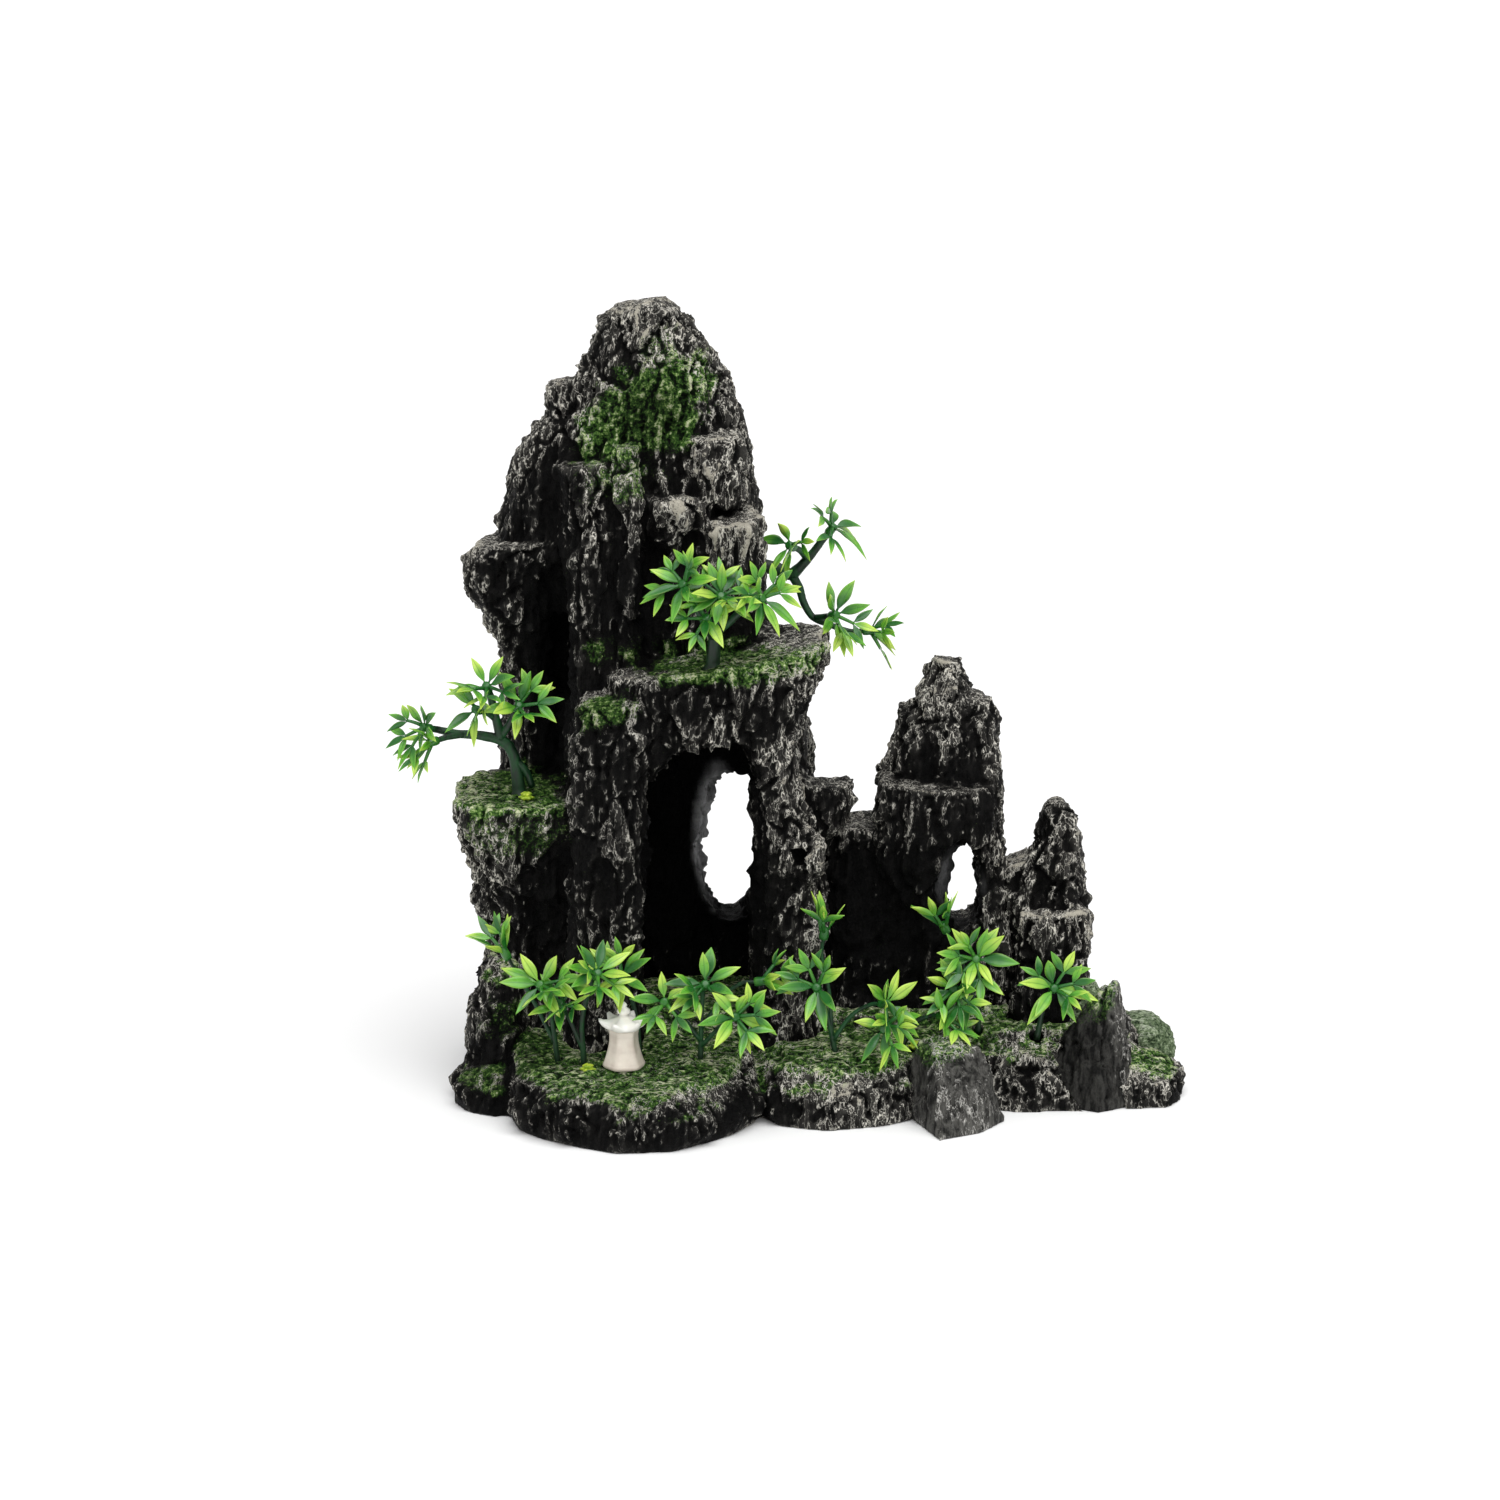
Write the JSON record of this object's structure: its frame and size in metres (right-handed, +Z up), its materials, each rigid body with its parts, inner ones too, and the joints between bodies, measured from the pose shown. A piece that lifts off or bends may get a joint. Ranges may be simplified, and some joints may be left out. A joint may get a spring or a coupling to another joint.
{
  "type": "aquarium cave ornament",
  "caption": "Cast resin rockery for a fish tank: a tall cave tower, a windowed side peak and boulders on one plinth, with plastic plants and a small lantern.",
  "frame": {"origin": "on the flat underside, near the middle of the plinth's width, under the front of the tower", "axes": "+Z up, +X to the right of someone who faces the cave mouth, -Y out of the cave mouth towards them"},
  "size_m": [0.1866, 0.0943, 0.1849],
  "materials": {
    "rock_resin": "cast resin painted charcoal, ridges dry-brushed in cream, ledges dusted with green moss flock",
    "mossy_resin": "cast resin with a smooth grey-green wash",
    "plant_stem": "dark green moulded plastic, slightly glossy",
    "leaf": "soft moulded plastic, deep green at the base to yellow-green at the tips",
    "bud": "yellow-green plastic",
    "lantern_body": "greyish white glaze with a faint pink cast",
    "lantern_roof": "ivory glaze"
  },
  "bodies": {
    "root": {"back_tree_leaves_1": "leaf", "back_tree_leaves_2": "leaf", "back_tree_leaves_3": "leaf", "back_tree_leaves_4": "leaf", "back_tree_stem": "plant_stem", "base_plinth": "rock_resin", "cave_mouth_spray_leaves_1": "leaf", "cave_mouth_spray_leaves_2": "leaf", "cave_mouth_spray_leaves_3": "leaf", "cave_mouth_spray_leaves_4": "leaf", "cave_mouth_spray_stem": "plant_stem", "centre_bush_leaves_1": "leaf", "centre_bush_leaves_2": "leaf", "centre_bush_leaves_3": "leaf", "centre_bush_leaves_4": "leaf", "centre_bush_stem": "plant_stem", "cone_rock": "rock_resin", "far_left_spray_leaves_1": "leaf", "far_left_spray_leaves_2": "leaf", "far_left_spray_stem": "plant_stem", "front_boulder": "rock_resin", "front_bud": "bud", "lantern_body": "lantern_body", "lantern_bud": "bud", "lantern_roof": "lantern_roof", "lantern_spray_leaves_1": "leaf", "lantern_spray_stem": "plant_stem", "left_ledge_bud": "bud", "left_moss_boulder": "mossy_resin", "left_spray_leaves_1": "leaf", "left_spray_leaves_2": "leaf", "left_spray_stem": "plant_stem", "left_tree_leaves_1": "leaf", "left_tree_leaves_2": "leaf", "left_tree_leaves_3": "leaf", "left_tree_leaves_4": "leaf", "left_tree_leaves_5": "leaf", "left_tree_stem": "plant_stem", "main_peak": "rock_resin", "middle_spray_leaves_1": "leaf", "middle_spray_leaves_2": "leaf", "middle_spray_stem": "plant_stem", "pillar_spray_leaves_1": "leaf", "pillar_spray_leaves_2": "leaf", "pillar_spray_leaves_3": "leaf", "pillar_spray_stem": "plant_stem", "right_moss_boulder": "mossy_resin", "right_spray_leaves_1": "leaf", "right_spray_stem": "plant_stem", "side_peak": "rock_resin", "window_peak": "rock_resin", "window_spray_leaves_1": "leaf", "window_spray_leaves_2": "leaf", "window_spray_leaves_3": "leaf", "window_spray_stem": "plant_stem"}
  },
  "joints": []
}
